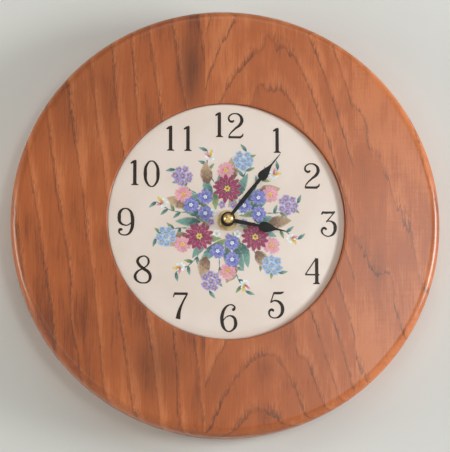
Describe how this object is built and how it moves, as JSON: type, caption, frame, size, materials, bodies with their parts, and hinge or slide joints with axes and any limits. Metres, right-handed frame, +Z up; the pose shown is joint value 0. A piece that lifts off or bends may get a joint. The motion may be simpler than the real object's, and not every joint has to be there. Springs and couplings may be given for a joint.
{
  "type": "wall clock",
  "caption": "Round wooden wall clock with an inset ceramic dial, spade hands, and a battery quartz movement in a pocket behind.",
  "frame": {"origin": "point on the wall plane where the hook's nail carries the sawtooth hanger's middle tooth", "axes": "+Z up towards 12 o'clock, +Y out of the flat back into the wall, dial facing -Y, +X to the viewer's right"},
  "size_m": [0.2794, 0.0393, 0.2794],
  "materials": {
    "panel_wood": "satin reddish stain on open-grained hardwood",
    "dial_glaze": "glossy cream glaze",
    "black_paint": "matt black",
    "brass": "polished",
    "steel": "zinc plated",
    "rubber": "matt",
    "case_plastic": "fine satin",
    "gear_plastic": "satin",
    "magnet": "dark metal",
    "copper_wire": "enamelled copper",
    "board_green": "solder mask",
    "chip_black": "epoxy",
    "cell_wrap": "printed wrap with no text"
  },
  "bodies": {
    "clock_base": {"board_left": "panel_wood", "board_centre": "panel_wood", "board_right": "panel_wood", "dial": "dial_glaze", "sawtooth_hanger": "steel", "hanger_nail_left": "brass", "hanger_nail_right": "brass", "rubber_washer": "rubber", "brass_washer": "brass", "hex_nut": "brass", "front_case": "case_plastic", "back_cover": "case_plastic", "mid_plate": "gear_plastic", "threaded_bush": "brass", "stator": "steel", "coil_core": "steel", "coil_bobbin": "gear_plastic", "coil_winding": "copper_wire", "circuit_board": "board_green", "chip_cover": "chip_black", "crystal": "steel", "battery": "cell_wrap", "positive_contact": "steel", "negative_contact": "steel"},
    "minute_group": {"minute_hand": "black_paint", "minute_arbor": "steel", "cap_nut": "brass"},
    "hour_group": {"hour_hand": "black_paint", "hour_hand_collet": "black_paint", "hour_wheel": "brass"},
    "motion_group": {"motion_wheel": "gear_plastic", "setting_knob": "gear_plastic"},
    "centre_group": {"centre_wheel": "brass"},
    "third_group": {"third_wheel": "gear_plastic"},
    "second_group": {"second_wheel": "gear_plastic"},
    "intermediate_group": {"intermediate_wheel": "gear_plastic"},
    "rotor_group": {"rotor": "gear_plastic", "rotor_magnet": "magnet"}
  },
  "joints": [
    {"name": "minute_turn", "type": "hinge", "parent": "clock_base", "child": "minute_group", "pos_m": [0, -0.03, -0.108], "axis": [0, 1, 0], "continuous": true},
    {"name": "hour_turn", "type": "hinge", "parent": "clock_base", "child": "hour_group", "pos_m": [0, -0.03, -0.108], "axis": [0, 1, 0], "continuous": true},
    {"name": "motion_turn", "type": "hinge", "parent": "clock_base", "child": "motion_group", "pos_m": [0.01152, -0.01, -0.108], "axis": [0, 1, 0], "continuous": true},
    {"name": "intermediate_turn", "type": "hinge", "parent": "clock_base", "child": "intermediate_group", "pos_m": [-0.01088, -0.01, -0.09], "axis": [0, 1, 0], "continuous": true},
    {"name": "rotor_turn", "type": "hinge", "parent": "clock_base", "child": "rotor_group", "pos_m": [-0.00251, -0.01, -0.08927], "axis": [0, 1, 0], "continuous": true},
    {"name": "second_turn", "type": "hinge", "parent": "clock_base", "child": "second_group", "pos_m": [-0.01778, -0.01, -0.09667], "axis": [0, 1, 0], "continuous": true},
    {"name": "third_turn", "type": "hinge", "parent": "clock_base", "child": "third_group", "pos_m": [-0.00764, -0.01, -0.10036], "axis": [0, 1, 0], "continuous": true},
    {"name": "centre_turn", "type": "hinge", "parent": "clock_base", "child": "centre_group", "pos_m": [0, -0.01, -0.108], "axis": [0, 1, 0], "continuous": true}
  ],
  "couplings": [
    {"joint": "motion_turn", "follows": "minute_turn", "ratio": -0.33333},
    {"joint": "hour_turn", "follows": "minute_turn", "ratio": 0.083333},
    {"joint": "rotor_turn", "follows": "intermediate_turn", "ratio": -6},
    {"joint": "second_turn", "follows": "intermediate_turn", "ratio": -0.2},
    {"joint": "third_turn", "follows": "intermediate_turn", "ratio": 0.026667},
    {"joint": "centre_turn", "follows": "intermediate_turn", "ratio": -0.0033333}
  ]
}
